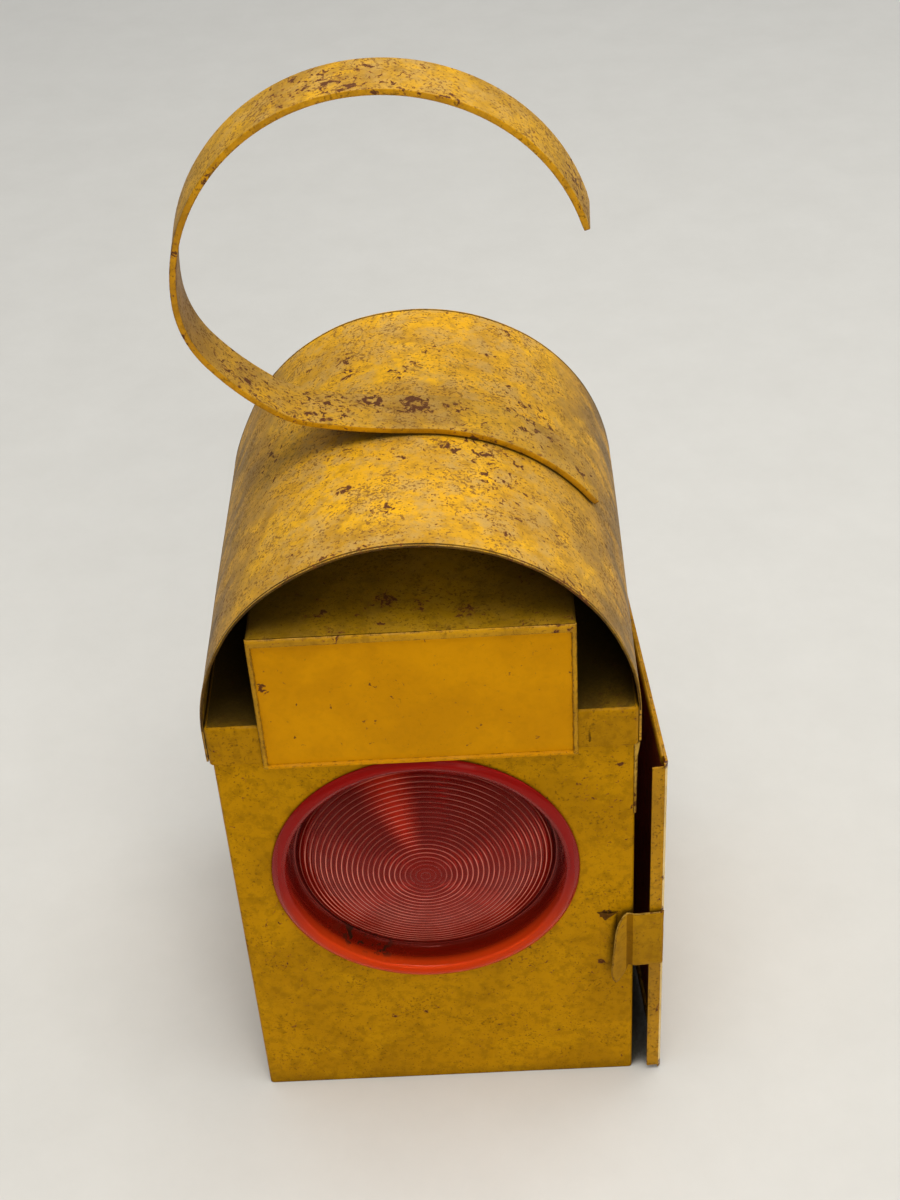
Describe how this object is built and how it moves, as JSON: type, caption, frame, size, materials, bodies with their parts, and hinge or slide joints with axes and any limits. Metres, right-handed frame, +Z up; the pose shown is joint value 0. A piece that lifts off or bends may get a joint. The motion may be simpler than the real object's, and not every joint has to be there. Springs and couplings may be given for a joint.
{
  "type": "road works hazard lamp",
  "caption": "Sheet-metal road-works hazard lamp with a red ringed lens, barrel rain hood, curled bar hook, sprung side door and paraffin burner inside.",
  "frame": {"origin": "centre of the body's base on the ground plane", "axes": "+Z up, the lens faces -Y, the door is on the +X side"},
  "size_m": [0.1858, 0.1877, 0.4527],
  "materials": {
    "ochre_paint": "aged ochre-yellow gloss paint, finely speckled",
    "hood_paint": "weathered golden-yellow paint with rust spots",
    "vent_paint": "cleaner orange-yellow gloss paint",
    "inside_paint": "dark sooty paint",
    "red_lens": "clear red moulding",
    "zinc_steel": "dull plated steel",
    "tank_tin": "tinned steel",
    "burner_brass": "tarnished brass",
    "wick_cotton": "woven cotton",
    "seal_rubber": "black rubber"
  },
  "bodies": {
    "casing": {"lamp_body": "ochre_paint", "base_pan": "inside_paint", "top_cap": "ochre_paint", "vent_box": "vent_paint", "vent_baffle": "inside_paint", "roof_hood": "hood_paint", "handle_strap": "hood_paint", "front_lens": "red_lens", "lens_seal": "seal_rubber", "lens_ring": "zinc_steel", "hinge_body_leaf": "zinc_steel", "hinge_pin": "zinc_steel", "hinge_body_rivet_lower": "zinc_steel", "hinge_body_rivet_upper": "zinc_steel", "fount_tank": "tank_tin", "filler_seal": "seal_rubber", "fount_clip_left": "zinc_steel", "fount_clip_front": "zinc_steel", "fount_clip_rear": "zinc_steel", "burner_collar": "burner_brass", "burner_cone": "burner_brass", "wick_tube": "burner_brass"},
    "door": {"door_panel": "ochre_paint", "hinge_door_leaf": "zinc_steel", "hinge_door_rivet_lower": "zinc_steel", "hinge_door_rivet_upper": "zinc_steel"},
    "latch": {"latch_spring": "ochre_paint"},
    "winder": {"winder_shaft": "burner_brass", "winder_wheel": "burner_brass", "winder_knob": "burner_brass"},
    "wick": {"wick": "wick_cotton"},
    "filler_cap": {"fount_cap": "burner_brass"},
    "bail": {"fount_bail": "zinc_steel"}
  },
  "joints": [
    {"name": "door_hinge", "type": "hinge", "parent": "casing", "child": "door", "pos_m": [0.09, 0.09, 0.096], "axis": [0, 0, 1], "range_deg": [-3.3, 120]},
    {"name": "latch_flex", "type": "hinge", "parent": "door", "child": "latch", "pos_m": [0.09829, -0.09032, 0.0925], "axis": [0, 0, 1], "range_deg": [0, 6]},
    {"name": "winder_turn", "type": "hinge", "parent": "casing", "child": "winder", "pos_m": [0, -0.005, 0.101], "axis": [1, 0, 0], "range_deg": [0, 80]},
    {"name": "wick_rise", "type": "slide", "parent": "casing", "child": "wick", "axis": [0, 0, 1], "range_m": [0, 0.00503]},
    {"name": "filler_cap_lift", "type": "slide", "parent": "casing", "child": "filler_cap", "axis": [0, 0, 1], "range_m": [0, 0.014]},
    {"name": "bail_swing", "type": "hinge", "parent": "casing", "child": "bail", "pos_m": [0, 0, 0.066], "axis": [0, 1, 0], "range_deg": [-140, 24]}
  ],
  "couplings": [
    {"joint": "wick_rise", "follows": "winder_turn", "m_per_rad": 0.0036}
  ]
}
